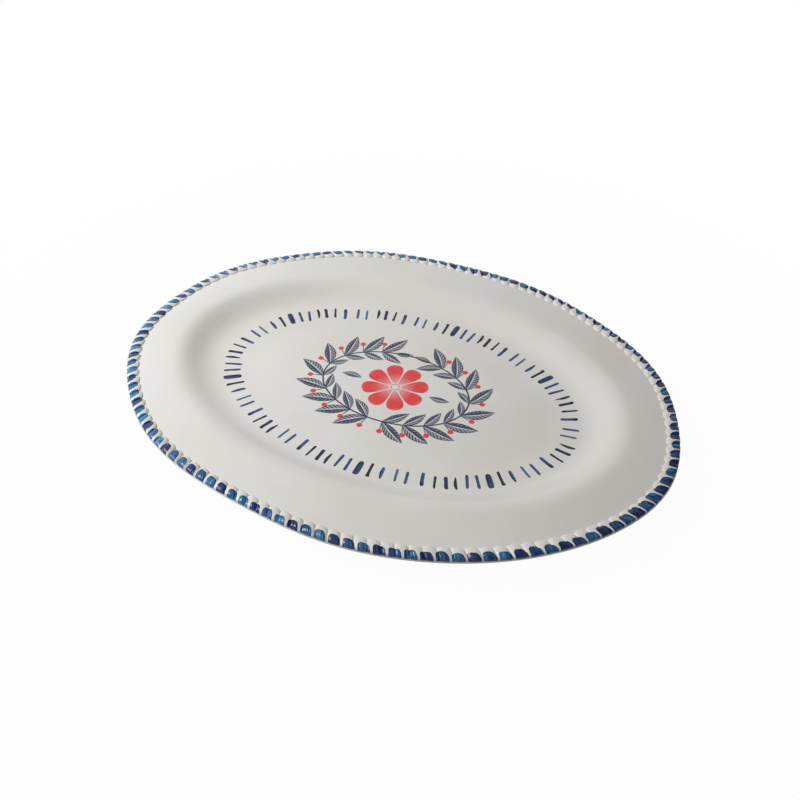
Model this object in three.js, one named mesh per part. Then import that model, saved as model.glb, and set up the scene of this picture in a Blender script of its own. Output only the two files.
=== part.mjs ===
// An oval serving platter: a dished stoneware body on a foot ring, a rope of lobes laid
// round its edge, and two printed transfers in its well.
// Millimetres, +Z up. The origin lies under the middle of the platter, on the surface that
// it stands on. An inset is a distance in from the edge, measured in plan.

import * as THREE from 'three';

const { degToRad, lerp, smoothstep, smootherstep } = THREE.MathUtils;

// The platter over its edge.
const LENGTH = 406;
const WIDTH = 308;

// The edge is formed by hand, so it swells and flattens a little on its way round.
// Each wave has its count, its height, and the bearing of one of its crests in degrees.
const EDGE_WAVES = [
  { count: 3, height: 1, crest: -27 },
  { count: 4, height: 0.7, crest: 36 },
  { count: 5, height: 0.5, crest: -10 },
  { count: 6, height: 0.4, crest: -15 },
  { count: 7, height: 0.4, crest: -20 },
  { count: 8, height: 0.3, crest: 21 },
  { count: 9, height: 0.6, crest: -7 },
];
const WAVE_REACH = 40;            // inset at which the edge's waves have died out

// The wall is not quite parallel to the edge: it lies further out at the two ends, most of
// all at the left one.
const WALL_WAVES = [
  { count: 1, height: 1.8, crest: 180 },
  { count: 2, height: 2.3, crest: 0 },
];

// The top surface: a nearly level rim, a wall, a shallow cove and a flat floor.
const RIM_WIDTH = 32;
const RIM_DROOP = 0.6;            // the rim falls this much from the wall to the edge
const WALL_RUN = 37;
const COVE_RUN = 21;              // from the wall's foot to the flat floor
const COVE_LAP = 11;              // the cove begins this far up the wall's foot
const COVE_FALL = 1.2;
const WELL_DEPTH = 12.4;          // from the top of the wall to the floor

// Thicknesses of the body.
const FLOOR_THICKNESS = 5;
const RIM_THICKNESS = 4.6;        // at the top of the wall
const LIP_THICKNESS = 2.2;        // at the edge
const LIP_CHAMFER = 0.7;
const HAUNCH_RUN = 2;             // the underside turns flat this far in from the wall's foot

// The foot ring, seated on the flat of the underside.
const FOOT_HEIGHT = 5;
const FOOT_WIDTH = 7;
const FOOT_SET_IN = 1;            // from the edge of the underside's flat to the ring
const FOOT_CHAMFER = 1;

// The rope round the edge. Its lobes lie closer together along the two long sides.
const LOBES = 129;
const LOBES_CLOSED_UP = 6;        // how many of them the closer spacing adds
const ROPE_SET_IN = 0.5;          // from the edge to the outer face of a lobe
const ROPE_WIDTH = 9.6;           // plan width of a lobe
const LOBE_HEIGHT = 2.2;
const VALLEY_HEIGHT = 1.3;
const INNER_SCALLOP = 2;          // how far a valley draws back on the inner side
const OUTER_SCALLOP = 0.4;        // and on the outer side
const ROPE_SLANT = 18;            // degrees that a lobe leans from square to the edge
const SEAT_GAP = 0.3;             // between curved faces that sit on each other

// The transfers: a ring that carries the dashes, and an oval for the middle of the floor.
const FILM_THICKNESS = 0.3;
const DASH_INSET = 67;            // from the edge to the outer ends of the dashes
const DASH_LENGTH = 13;
const DASH_FILM_MARGIN = 3.5;
const CENTRE_FILM_MARGIN = 6;     // from the edge of the flat floor to the oval

// How finely the round shapes are faceted.
const STATIONS = 84;
const COVE_STEPS = 3;
const WALL_STEPS = 7;
const RIM_STEPS = 4;
const FILM_STEPS = 3;
const STEPS_PER_LOBE = 4;
const EDGE_SAMPLES = 2400;

// A lobe's section, from its inner foot over the crest to its outer foot, as shares of its
// width and height.
const LOBE_SECTION = [
  { across: 1, up: 0 },
  { across: 0.85, up: 0.7 },
  { across: 0.5, up: 1 },
  { across: 0.14, up: 0.74 },
  { across: 0, up: 0 },
];

const halfLength = LENGTH / 2;
const halfWidth = WIDTH / 2;
const wallTop = RIM_WIDTH;
const wallFoot = wallTop + WALL_RUN;
const wallMiddle = wallTop + WALL_RUN / 2;
const coveStart = wallFoot - COVE_LAP;
const floorEdge = wallFoot + COVE_RUN;
const underEdge = wallFoot + HAUNCH_RUN;
const floorTop = FOOT_HEIGHT + FLOOR_THICKNESS;
const rimTop = floorTop + WELL_DEPTH;
const ropeInside = ROPE_SET_IN + ROPE_WIDTH;
const lipChamfer = Math.min(LIP_CHAMFER, 0.4 * LIP_THICKNESS);

// The sum of some waves at a bearing.
function sumOfWaves(waves, bearing) {
  let height = 0;
  for (const wave of waves) {
    height += wave.height * Math.cos(wave.count * (bearing - degToRad(wave.crest)));
  }
  return height;
}

// How far a point is pushed out by the waves. The edge's waves die out towards the wall, and
// the wall's own waves die out on both sides of it.
function pushedOut(bearing, inset) {
  const nearEdge = 1 - smoothstep(inset, 0, WAVE_REACH);
  const outerFade = smoothstep(inset, ropeInside, wallTop);
  const innerFade = 1 - smoothstep(inset, wallMiddle, underEdge);
  const edge = nearEdge * sumOfWaves(EDGE_WAVES, bearing);
  return edge + outerFade * innerFade * sumOfWaves(WALL_WAVES, bearing);
}

// A point on the oval that runs round at one inset. Each oval is the edge drawn in by the
// same amount on its length and on its width.
function ovalPoint(bearing, inset, height) {
  const drawnIn = inset - pushedOut(bearing, inset);
  const x = (halfLength - drawnIn) * Math.cos(bearing);
  const y = (halfWidth - drawnIn) * Math.sin(bearing);
  return new THREE.Vector3(x, y, height);
}

function ovalRow(inset, height) {
  const row = [];
  for (let k = 0; k < STATIONS; k += 1) {
    row.push(ovalPoint((2 * Math.PI * k) / STATIONS, inset, height));
  }
  return row;
}

// A point set in from the edge along the edge's own normal, as the lobes are laid.
function pointSquareToEdge(bearing, inset, height) {
  const normal = new THREE.Vector2(Math.cos(bearing) / halfLength, Math.sin(bearing) / halfWidth);
  normal.normalize();
  const out = pushedOut(bearing, inset) - inset;
  const x = halfLength * Math.cos(bearing) + out * normal.x;
  const y = halfWidth * Math.sin(bearing) + out * normal.y;
  return new THREE.Vector3(x, y, height);
}

// The top falls twice on its way in from the rim: down the wall, and gently over the cove.
function topHeight(inset) {
  const outward = Math.max(1 - inset / wallTop, 0);
  const rim = rimTop - RIM_DROOP * outward * outward;
  const wall = (WELL_DEPTH - COVE_FALL) * smootherstep(inset, wallTop, wallFoot);
  return rim - wall - COVE_FALL * smoothstep(inset, coveStart, floorEdge);
}

// The underside thins towards the lip, and falls under the wall to the flat that the foot
// ring is seated on.
function underHeight(inset) {
  if (inset <= wallTop) {
    const thickness = lerp(LIP_THICKNESS, RIM_THICKNESS, smoothstep(inset, lipChamfer, wallTop));
    return topHeight(inset) - thickness;
  }
  return lerp(rimTop - RIM_THICKNESS, FOOT_HEIGHT, smoothstep(inset, wallTop, underEdge));
}

// Evenly spaced values from one end up to the other, without the last.
function steps(from, to, count) {
  const values = [];
  for (let k = 0; k < count; k += 1) {
    values.push(lerp(from, to, k / count));
  }
  return values;
}

// A closed body from rows of points that each run once round the platter. The rows go
// outwards over the top and back inwards underneath. A ring closes on its first row, and a
// dish is closed by a point above and a point below.
function solidFromRows(rows, middle) {
  const around = rows[0].length;
  const points = rows.flat();
  const triangles = [];
  const bands = middle ? rows.length - 1 : rows.length;
  for (let r = 0; r < bands; r += 1) {
    const here = r * around;
    const next = ((r + 1) % rows.length) * around;
    for (let k = 0; k < around; k += 1) {
      const on = (k + 1) % around;
      triangles.push(here + k, next + k, next + on);
      triangles.push(here + k, next + on, here + on);
    }
  }
  if (middle) {
    const last = (rows.length - 1) * around;
    const above = points.push(middle.above) - 1;
    const below = points.push(middle.below) - 1;
    for (let k = 0; k < around; k += 1) {
      const on = (k + 1) % around;
      triangles.push(above, k, on);
      triangles.push(below, last + on, last + k);
    }
  }
  const geometry = new THREE.BufferGeometry().setFromPoints(points);
  geometry.setIndex(triangles);
  geometry.computeVertexNormals();
  return geometry;
}

function middlePoints(above, below) {
  return {
    above: new THREE.Vector3(0, 0, above),
    below: new THREE.Vector3(0, 0, below),
  };
}

// The body: floor, cove, wall and rim in one shell, with a chamfered lip.
function bodyGeometry() {
  const rimInsets = [...steps(wallTop, lipChamfer, RIM_STEPS), lipChamfer];
  const topInsets = [
    ...steps(floorEdge, wallFoot, COVE_STEPS),
    ...steps(wallFoot, wallTop, WALL_STEPS),
    ...rimInsets,
  ];
  const underInsets = [...steps(underEdge, wallTop, WALL_STEPS), ...rimInsets];
  underInsets.reverse();
  const rows = topInsets.map((inset) => ovalRow(inset, topHeight(inset)));
  rows.push(ovalRow(0, topHeight(0) - lipChamfer));
  rows.push(ovalRow(0, topHeight(0) - LIP_THICKNESS + lipChamfer));
  rows.push(...underInsets.map((inset) => ovalRow(inset, underHeight(inset))));
  return solidFromRows(rows, middlePoints(floorTop, FOOT_HEIGHT));
}

// The foot ring, flat where it meets the body and where it stands.
function footGeometry() {
  const outer = underEdge + FOOT_SET_IN;
  const inner = outer + FOOT_WIDTH;
  const rows = [
    ovalRow(inner, FOOT_HEIGHT),
    ovalRow(outer, FOOT_HEIGHT),
    ovalRow(outer, FOOT_CHAMFER),
    ovalRow(outer + FOOT_CHAMFER, 0),
    ovalRow(inner - FOOT_CHAMFER, 0),
    ovalRow(inner, FOOT_CHAMFER),
  ];
  return solidFromRows(rows);
}

// The edge walked in small steps. Each step has its bearing and the count of lobes that lie
// before it: evenly spaced by length, and closed up along the long sides.
function walkEdge() {
  const walk = [{ bearing: 0, length: 0 }];
  let last = pointSquareToEdge(0, 0, 0);
  for (let k = 1; k <= EDGE_SAMPLES; k += 1) {
    const bearing = (2 * Math.PI * k) / EDGE_SAMPLES;
    const point = pointSquareToEdge(bearing, 0, 0);
    walk.push({ bearing, length: walk[k - 1].length + point.distanceTo(last) });
    last = point;
  }
  const total = walk[EDGE_SAMPLES].length;
  for (const step of walk) {
    const share = step.length / total;
    const closing = share - Math.sin(4 * Math.PI * share) / (4 * Math.PI);
    step.lobe = (LOBES - LOBES_CLOSED_UP) * share + LOBES_CLOSED_UP * closing;
  }
  return walk;
}

// The bearing at which a lobe's count is reached. Counts past either end go round again.
function bearingOfLobe(walk, lobe) {
  const turns = Math.floor(lobe / LOBES);
  const count = lobe - turns * LOBES;
  let low = 0;
  let high = EDGE_SAMPLES;
  while (high - low > 1) {
    const half = Math.floor((low + high) / 2);
    if (walk[half].lobe <= count) {
      low = half;
    } else {
      high = half;
    }
  }
  const share = (count - walk[low].lobe) / (walk[high].lobe - walk[low].lobe);
  return 2 * Math.PI * turns + lerp(walk[low].bearing, walk[high].bearing, share);
}

// The rope: one ring whose section swells at each lobe and sinks at each valley.
function ropeGeometry() {
  const walk = walkEdge();
  const pitch = walk[EDGE_SAMPLES].length / LOBES;
  const lean = Math.tan(degToRad(ROPE_SLANT)) / pitch;
  const middle = ROPE_SET_IN + ROPE_WIDTH / 2;
  const rows = LOBE_SECTION.map(() => []);
  for (let k = 0; k < LOBES * STEPS_PER_LOBE; k += 1) {
    const lobe = k / STEPS_PER_LOBE;
    const swell = Math.sqrt(Math.sin(Math.PI * (lobe % 1)));
    const height = lerp(VALLEY_HEIGHT, LOBE_HEIGHT, swell);
    const outer = ROPE_SET_IN + OUTER_SCALLOP * (1 - swell);
    const inner = ROPE_SET_IN + ROPE_WIDTH - INNER_SCALLOP * (1 - swell);
    LOBE_SECTION.forEach((place, r) => {
      const inset = lerp(outer, inner, place.across);
      const bearing = bearingOfLobe(walk, lobe - lean * (inset - middle));
      const seat = topHeight(inset) + SEAT_GAP;
      const up = place.up * (height - SEAT_GAP);
      rows[r].push(pointSquareToEdge(bearing, inset, seat + up));
    });
  }
  return solidFromRows(rows);
}

// The film under the ring of dashes, lying on the curve of the cove.
function dashFilmGeometry() {
  const outer = DASH_INSET - DASH_FILM_MARGIN;
  const inner = DASH_INSET + DASH_LENGTH + DASH_FILM_MARGIN;
  const insets = [...steps(inner, outer, FILM_STEPS), outer];
  const lift = SEAT_GAP + FILM_THICKNESS;
  const rows = insets.map((inset) => ovalRow(inset, topHeight(inset) + lift));
  insets.reverse();
  rows.push(...insets.map((inset) => ovalRow(inset, topHeight(inset) + SEAT_GAP)));
  return solidFromRows(rows);
}

// The oval film in the middle, flat on the floor.
function centreFilmGeometry() {
  const inset = floorEdge + CENTRE_FILM_MARGIN;
  const above = floorTop + FILM_THICKNESS;
  const rows = [ovalRow(inset, above), ovalRow(inset, floorTop)];
  return solidFromRows(rows, middlePoints(above, floorTop));
}

function piece(name, geometry, color, roughness) {
  const material = new THREE.MeshStandardMaterial({ color, roughness, metalness: 0 });
  const mesh = new THREE.Mesh(geometry, material);
  mesh.name = name;
  return mesh;
}

const platter = new THREE.Group();
platter.add(piece('platter_body', bodyGeometry(), 0xe1dfd9, 0.2));
platter.add(piece('foot_ring', footGeometry(), 0xd8d4cb, 0.45));
platter.add(piece('rope_edge', ropeGeometry(), 0x456a94, 0.2));
platter.add(piece('dash_transfer', dashFilmGeometry(), 0xc3c8d2, 0.2));
platter.add(piece('centre_transfer', centreFilmGeometry(), 0xdcdad6, 0.2));

// The waves push the edge a little off centre, so the platter is set back over the origin.
const middle = new THREE.Box3().setFromObject(platter).getCenter(new THREE.Vector3());
platter.position.set(-middle.x, -middle.y, 0);

export default platter;
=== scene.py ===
# %% [markdown]
# # An oval serving platter
# This lesson dresses a stoneware platter in Blender. The platter is a shallow oval dish with a
# wide rim, a rope of lobes laid round its edge and dabbed with blue, a ring of brushed dashes
# in the well, and a printed wreath in the middle. The solid model gives the sizes, and here
# every piece gets its fine surface and its finish.

# %% Load the frame
import math

import bmesh
import bpy
from mathutils import Matrix, Vector


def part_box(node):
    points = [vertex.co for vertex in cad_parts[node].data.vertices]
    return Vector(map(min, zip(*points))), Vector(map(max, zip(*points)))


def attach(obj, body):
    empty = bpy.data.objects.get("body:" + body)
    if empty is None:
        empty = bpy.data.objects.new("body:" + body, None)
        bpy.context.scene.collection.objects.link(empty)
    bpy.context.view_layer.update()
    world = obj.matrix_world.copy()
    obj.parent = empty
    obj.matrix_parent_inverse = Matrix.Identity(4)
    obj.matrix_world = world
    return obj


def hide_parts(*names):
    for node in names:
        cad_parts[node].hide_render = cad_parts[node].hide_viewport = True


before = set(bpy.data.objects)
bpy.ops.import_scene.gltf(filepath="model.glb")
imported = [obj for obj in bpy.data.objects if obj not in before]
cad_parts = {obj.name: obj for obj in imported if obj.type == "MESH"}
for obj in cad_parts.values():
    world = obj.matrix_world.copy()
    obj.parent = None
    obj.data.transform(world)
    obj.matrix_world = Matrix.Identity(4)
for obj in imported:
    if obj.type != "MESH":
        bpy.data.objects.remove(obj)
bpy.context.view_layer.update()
MM = 0.001

# %% [markdown]
# ## Sizes
# Blender works in metres here. The middle of the oval, its half axes and the main heights are
# read from the frame's nodes. The rest are the platter's own sizes. An inset is a distance in
# from the edge, seen from above, and a bearing is an angle round the middle.

# %% The platter's sizes
FOOT_INSET = 72 * MM
RIM_WIDTH = 32 * MM
RIM_DROOP = 0.6 * MM
WALL_RUN = 37 * MM
COVE_RUN = 21 * MM
COVE_LAP = 11 * MM
COVE_FALL = 1.2 * MM
HAUNCH_RUN = 2 * MM
RIM_THICKNESS = 4.6 * MM
LIP_THICKNESS = 2.2 * MM
ROPE_SET_IN = 0.5 * MM
ROPE_WIDTH = 9.6 * MM
WAVE_REACH = 40 * MM
EDGE_CLEARANCE = 0.3 * MM      # keeps the dressed edge inside the solid one

foot_low, foot_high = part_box("foot_ring")
MIDDLE = Vector(((foot_low.x + foot_high.x) / 2, (foot_low.y + foot_high.y) / 2, 0))
HALF_LENGTH = (foot_high.x - foot_low.x) / 2 + FOOT_INSET
HALF_WIDTH = (foot_high.y - foot_low.y) / 2 + FOOT_INSET
UNDERSIDE = foot_high.z
FLOOR_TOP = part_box("centre_transfer")[0].z
RIM_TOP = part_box("platter_body")[1].z
WELL_DEPTH = RIM_TOP - FLOOR_TOP
ROPE_INSIDE = ROPE_SET_IN + ROPE_WIDTH
WALL_MIDDLE = RIM_WIDTH + WALL_RUN / 2
WALL_FOOT = RIM_WIDTH + WALL_RUN
COVE_START = WALL_FOOT - COVE_LAP
FLOOR_EDGE = WALL_FOOT + COVE_RUN
UNDER_EDGE = WALL_FOOT + HAUNCH_RUN
print("half axes, mm:", round(HALF_LENGTH / MM, 1), round(HALF_WIDTH / MM, 1))

# %% [markdown]
# ## The section and the edge
# The section is a nearly level rim, a wall, a shallow cove and a flat floor. From the rim the
# top falls twice, down the wall and gently over the cove, each time along a smooth curve. The
# edge was formed by hand, so a few long, low waves run round it and die out towards the wall,
# and the wall itself lies a little further out at the ends.

# %% Heights of the top and the underside
def smooth_share(value, low, high):
    share = min(max((value - low) / (high - low), 0), 1)
    return share * share * (3 - 2 * share)


def smoother_share(value, low, high):
    share = min(max((value - low) / (high - low), 0), 1)
    return share ** 3 * (share * (6 * share - 15) + 10)


def top_height(inset):
    outward = max(1 - inset / RIM_WIDTH, 0)
    rim = RIM_TOP - RIM_DROOP * outward ** 2
    wall = (WELL_DEPTH - COVE_FALL) * smoother_share(inset, RIM_WIDTH, WALL_FOOT)
    return rim - wall - COVE_FALL * smooth_share(inset, COVE_START, FLOOR_EDGE)


def under_height(inset):
    if inset <= RIM_WIDTH:
        gain = (RIM_THICKNESS - LIP_THICKNESS) * smooth_share(inset, 0, RIM_WIDTH)
        return top_height(inset) - LIP_THICKNESS - gain
    brow = RIM_TOP - RIM_THICKNESS
    return brow - (brow - UNDERSIDE) * smooth_share(inset, RIM_WIDTH, UNDER_EDGE)


print("well depth, mm:", round((top_height(RIM_WIDTH) - top_height(FLOOR_EDGE)) / MM, 2))

# %% The waves of the edge and the wall
EDGE_WAVES = [                 # waves round the edge, height, bearing of a crest in degrees
    (3, 1.0 * MM, -27),
    (4, 0.7 * MM, 36),
    (5, 0.5 * MM, -10),
    (6, 0.4 * MM, -15),
    (7, 0.4 * MM, -20),
    (8, 0.3 * MM, 21),
    (9, 0.6 * MM, -7),
]
WALL_WAVES = [(1, 1.8 * MM, 180), (2, 2.3 * MM, 0)]


def sum_of_waves(waves, bearing):
    return sum(high * math.cos(n * (bearing - math.radians(at))) for n, high, at in waves)


def pushed_out(bearing, inset):
    """How far the waves push a point out at its bearing and inset."""
    near_edge = 1 - smooth_share(inset, 0, WAVE_REACH)
    outer_fade = smooth_share(inset, ROPE_INSIDE, RIM_WIDTH)
    inner_fade = 1 - smooth_share(inset, WALL_MIDDLE, UNDER_EDGE)
    edge = near_edge * sum_of_waves(EDGE_WAVES, bearing)
    return edge + outer_fade * inner_fade * sum_of_waves(WALL_WAVES, bearing)


def square_to_edge(bearing, inset):
    """The point at an inset from the edge, along the edge's own normal."""
    normal = Vector((math.cos(bearing) / HALF_LENGTH, math.sin(bearing) / HALF_WIDTH))
    normal.normalize()
    out = pushed_out(bearing, inset) - inset
    return Vector((HALF_LENGTH * math.cos(bearing), HALF_WIDTH * math.sin(bearing))) + out * normal


print("wave at the right end, mm:", round(pushed_out(0, 0) / MM, 2))

# %% [markdown]
# ## Small helpers for modelling
# An operator works on whatever is selected, and loading leaves the solid nodes selected. So a
# shape is added with nothing else selected, a piece is edited with it alone selected, and its
# vertices are then picked by their place. A finished piece keeps its place in its mesh, rides
# on the one body, and hides the solid it stands for.

# %% Add, select and edit a piece
WELD = 0.002 * MM              # vertices closer than this are one


def add_shape(name, primitive, **settings):
    """A new primitive, with nothing else selected."""
    bpy.ops.object.select_all(action="DESELECT")
    primitive(**settings)
    shape = bpy.context.object
    shape.name = name
    return shape


def select_alone(piece):
    bpy.ops.object.select_all(action="DESELECT")
    piece.select_set(True)
    bpy.context.view_layer.objects.active = piece


def start_editing(piece):
    select_alone(piece)
    bpy.ops.object.mode_set(mode="EDIT")
    bpy.ops.mesh.select_mode(type="VERT")


def pick_vertices(piece, wanted):
    """Selects the vertices of the piece in edit mode whose place passes the test."""
    mesh = bmesh.from_edit_mesh(piece.data)
    for vertex in mesh.verts:
        vertex.select = wanted(vertex.co)
    mesh.select_flush_mode()
    bmesh.update_edit_mesh(piece.data)


def scale_flat(x, y):
    """Scales what is selected about the origin, as seen from above."""
    bpy.ops.transform.resize(value=(x, y, 1), center_override=(0, 0, 0))


def close_and_turn_out():
    """Merges doubled vertices and points the faces outwards, then leaves edit mode."""
    bpy.ops.mesh.select_all(action="SELECT")
    bpy.ops.mesh.remove_doubles(threshold=WELD)
    bpy.ops.mesh.normals_make_consistent(inside=False)
    bpy.ops.object.mode_set(mode="OBJECT")


print("vertices are merged within, mm:", round(WELD / MM, 4))

# %% Finish a piece
def apply_modifier(piece, kind, **settings):
    modifier = piece.modifiers.new(kind.title(), kind)
    for name, value in settings.items():
        setattr(modifier, name, value)
    select_alone(piece)
    bpy.ops.object.modifier_apply(modifier=modifier.name)


def join_as(name, pieces):
    select_alone(pieces[0])
    for piece in pieces:
        piece.select_set(True)
    bpy.ops.object.join()
    joined = bpy.context.object
    joined.name = name
    return joined


def finish_piece(piece, node, material, sharp_angle):
    """Shades a piece, gives it its finish and fixes it to the frame."""
    select_alone(piece)
    bpy.ops.object.shade_smooth_by_angle(angle=math.radians(sharp_angle))
    piece.data.materials.clear()
    piece.data.materials.append(material)
    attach(piece, "root")
    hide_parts(node)
    sides = [round(side / MM, 2) for side in piece.dimensions]
    print(piece.name, len(piece.data.polygons), "faces,", sides, "mm")


def srgb(red, green, blue):
    """A colour given as it looks on a screen, turned into the linear values that shaders use."""
    shares = [value / 255 for value in (red, green, blue)]
    linear = [s / 12.92 if s <= 0.04045 else ((s + 0.055) / 1.055) ** 2.4 for s in shares]
    return (*linear, 1)


print("a middle grey is linear", round(srgb(128, 128, 128)[0], 3))

# %% [markdown]
# ## The camera
# The picture was taken from the front right, looking down at about 41 degrees from just over
# half a metre. The camera is first aimed at the middle of the rim, and then panned, tilted and
# rolled by the small angles that put the platter where it lies in the frame.

# %% Place the camera
CAMERA_BEARING = math.radians(22.36)
CAMERA_HEIGHT_ANGLE = math.radians(41.13)
CAMERA_DISTANCE = 565.5 * MM
CAMERA_PAN = math.radians(0.380)
CAMERA_TILT = math.radians(-1.913)
CAMERA_ROLL = math.radians(-0.870)
LENS = 35.18                   # millimetres, like the sensor
SENSOR_WIDTH = 36
NEAREST_SEEN = 10 * MM
AIM_ABOVE_RIM = 1.1 * MM
AIM = MIDDLE + Vector((0, 0, top_height(0) + AIM_ABOVE_RIM))


def camera_axes():
    """The camera's right, up and back directions as the rows of a matrix."""
    across = math.cos(CAMERA_HEIGHT_ANGLE)
    back = Vector((
        math.sin(CAMERA_BEARING) * across,
        -math.cos(CAMERA_BEARING) * across,
        math.sin(CAMERA_HEIGHT_ANGLE),
    ))
    right = Vector((math.cos(CAMERA_BEARING), math.sin(CAMERA_BEARING), 0))
    level = Matrix((right, back.cross(right), back))
    pan = Matrix.Rotation(CAMERA_PAN, 3, "Y")
    tilt = Matrix.Rotation(-CAMERA_TILT, 3, "X")
    roll = Matrix.Rotation(CAMERA_ROLL, 3, "Z")
    return roll @ tilt @ pan @ level, back


axes, back = camera_axes()
camera_data = bpy.data.cameras.new("camera")
camera_data.lens = LENS
camera_data.sensor_width = SENSOR_WIDTH
camera_data.clip_start = NEAREST_SEEN
camera = bpy.data.objects.new("camera", camera_data)
bpy.context.scene.collection.objects.link(camera)
camera.matrix_world = Matrix.Translation(AIM + back * CAMERA_DISTANCE) @ axes.transposed().to_4x4()
bpy.context.scene.camera = camera
print("camera at, m:", [round(value, 3) for value in camera.location])

# %% [markdown]
# ## Writing shader maths as sums
# A finish is a network of nodes. Wiring each Math node by hand hides the idea, so this class
# wraps a socket and lets Python's own signs add the nodes. Any other node comes from `node`,
# which takes its settings first and then the values or wires of its sockets.

# %% The Wire class
class Wire:
    def __init__(self, tree, socket=None):
        self.tree = tree
        self.socket = socket

    def node(self, kind, settings=None, inputs=None, output=0):
        made = self.tree.nodes.new(kind)
        for name, value in (settings or {}).items():
            if name == "stops":
                self.set_stops(made.color_ramp, value)
            else:
                setattr(made, name, value)
        for key, value in (inputs or {}).items():
            socket = self.find(made.inputs, key)
            if isinstance(value, Wire):
                self.tree.links.new(value.socket, socket)
            else:
                socket.default_value = value
        return Wire(self.tree, self.find(made.outputs, output)) if made.outputs else None

    @staticmethod
    def find(sockets, key):
        if isinstance(key, int):
            return sockets[key]
        return next(socket for socket in sockets if key in (socket.identifier, socket.name))

    @staticmethod
    def set_stops(ramp, stops):
        while len(ramp.elements) < len(stops):
            ramp.elements.new(1)
        for element, (position, colour) in zip(ramp.elements, stops):
            element.position = position
            element.color = colour

    def math(self, operation, *values):
        return self.node("ShaderNodeMath", {"operation": operation}, dict(enumerate(values)))

    def __add__(self, other):
        return self.math("ADD", self, other)

    def __sub__(self, other):
        return self.math("SUBTRACT", self, other)

    def __rsub__(self, other):
        return self.math("SUBTRACT", other, self)

    def __mul__(self, other):
        return self.math("MULTIPLY", self, other)

    def __truediv__(self, other):
        return self.math("DIVIDE", self, other)

    def __pow__(self, other):
        return self.math("POWER", self, other)

    __radd__ = __add__
    __rmul__ = __mul__

    def ramp_between(self, low, high):
        """0 where this value is low, 1 where it is high, and smooth between."""
        settings = {"interpolation_type": "SMOOTHSTEP"}
        inputs = {"Value": self, "From Min": low, "From Max": high}
        return self.node("ShaderNodeMapRange", settings, inputs)

    def mix(self, low, high):
        """The colour low where this value is 0 and high where it is 1."""
        settings = {"data_type": "RGBA"}
        inputs = {"Factor_Float": self, "A_Color": low, "B_Color": high}
        return self.node("ShaderNodeMix", settings, inputs, "Result_Color")

    def noise(self, place, scale, detail=2.0):
        inputs = {"Vector": place, "Scale": scale, "Detail": detail}
        return self.node("ShaderNodeTexNoise", inputs=inputs, output="Fac")

    def place(self):
        """Where a point lies on the platter, in metres."""
        return self.node("ShaderNodeTexCoord", output="Object")

    def part(self, axis):
        """One of the three numbers of a vector."""
        return self.node("ShaderNodeSeparateXYZ", inputs={0: self}, output=axis)


print("shader class ready")

# %% Start and end a finish
GLAZE_IOR = 1.5


def new_finish(name):
    """An empty material and a wire to start from."""
    material = bpy.data.materials.new(name)
    material.use_nodes = True
    material.node_tree.nodes.clear()
    return material, Wire(material.node_tree)


def surface(wire, colour, roughness, bump=None, shine=0.5):
    """A glossy surface under clear glaze."""
    inputs = {"Base Color": colour, "Roughness": roughness}
    inputs |= {"IOR": GLAZE_IOR, "Specular IOR Level": shine}
    if bump is not None:
        inputs["Normal"] = bump
    shader = wire.node("ShaderNodeBsdfPrincipled", inputs=inputs)
    wire.node("ShaderNodeOutputMaterial", inputs={"Surface": shader})


print("glaze bends light by", GLAZE_IOR)

# %% [markdown]
# ## The glaze
# The platter is off-white under a clear gloss glaze. A single white would look like plastic, so
# the glaze has faint warm clouds where it pooled, a few tiny specks from the clay, and a slow
# ripple that bends its reflections a little, as a dipped glaze has.

# %% Glaze finish
GLAZE = srgb(235, 234, 231)
GLAZE_WARM = srgb(231, 229, 223)
SPECK = srgb(196, 190, 180)
GLAZE_ROUGHNESS = 0.13
ROUGHNESS_SPREAD = 0.06
PATCHES_PER_METRE = 55         # of rougher glaze
CLOUDS_PER_METRE = 16
SPECKS_PER_METRE = 420
SPECK_STRENGTH = 0.3
RIPPLES_PER_METRE = 38
RIPPLE_DEPTH = 0.12 * MM
SPECK_RISE = 0.08              # against a ripple


def glaze_colour(wire, place):
    clouds = wire.noise(place, CLOUDS_PER_METRE, 3).ramp_between(0.35, 0.7)
    specks = wire.noise(place, SPECKS_PER_METRE, 1).ramp_between(0.76, 0.8)
    return (specks * SPECK_STRENGTH).mix(clouds.mix(GLAZE, GLAZE_WARM), SPECK)


def glaze_ripple(wire, place):
    fine = wire.noise(place, SPECKS_PER_METRE, 1)
    height = wire.noise(place, RIPPLES_PER_METRE, 1) + SPECK_RISE * fine
    inputs = {"Strength": 1, "Distance": RIPPLE_DEPTH, "Height": height}
    return wire.node("ShaderNodeBump", inputs=inputs)


def glaze_finish():
    material, wire = new_finish("gloss_glaze")
    place = wire.place()
    roughness = GLAZE_ROUGHNESS + ROUGHNESS_SPREAD * wire.noise(place, PATCHES_PER_METRE, 2)
    surface(wire, glaze_colour(wire, place), roughness, glaze_ripple(wire, place))
    return material


gloss_glaze = glaze_finish()
print("finish:", gloss_glaze.name)

# %% [markdown]
# ## The body
# The body was pressed in one piece. A lathe-like spin would give a round dish, but every level
# of this one is an oval with the same inset all round, so spinning and squashing would make the
# rim too wide at the ends. Instead a disc is drawn for the floor, and its edge is extruded and
# scaled from station to station: out over the cove, wall and rim, round the lip, and back
# underneath. The waves are then pushed into the finished shell.

# %% Stations of the body's section
BODY_AROUND = 256
FLOOR_DISC_INSET = 100 * MM
LIP_STEPS = 6


def steps_through(start, stops):
    """Insets from a start to each stop in turn, in so many even steps each."""
    insets = []
    for stop, count in stops:
        insets += [start + (stop - start) * (k + 1) / count for k in range(count)]
        start = stop
    return insets


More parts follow.
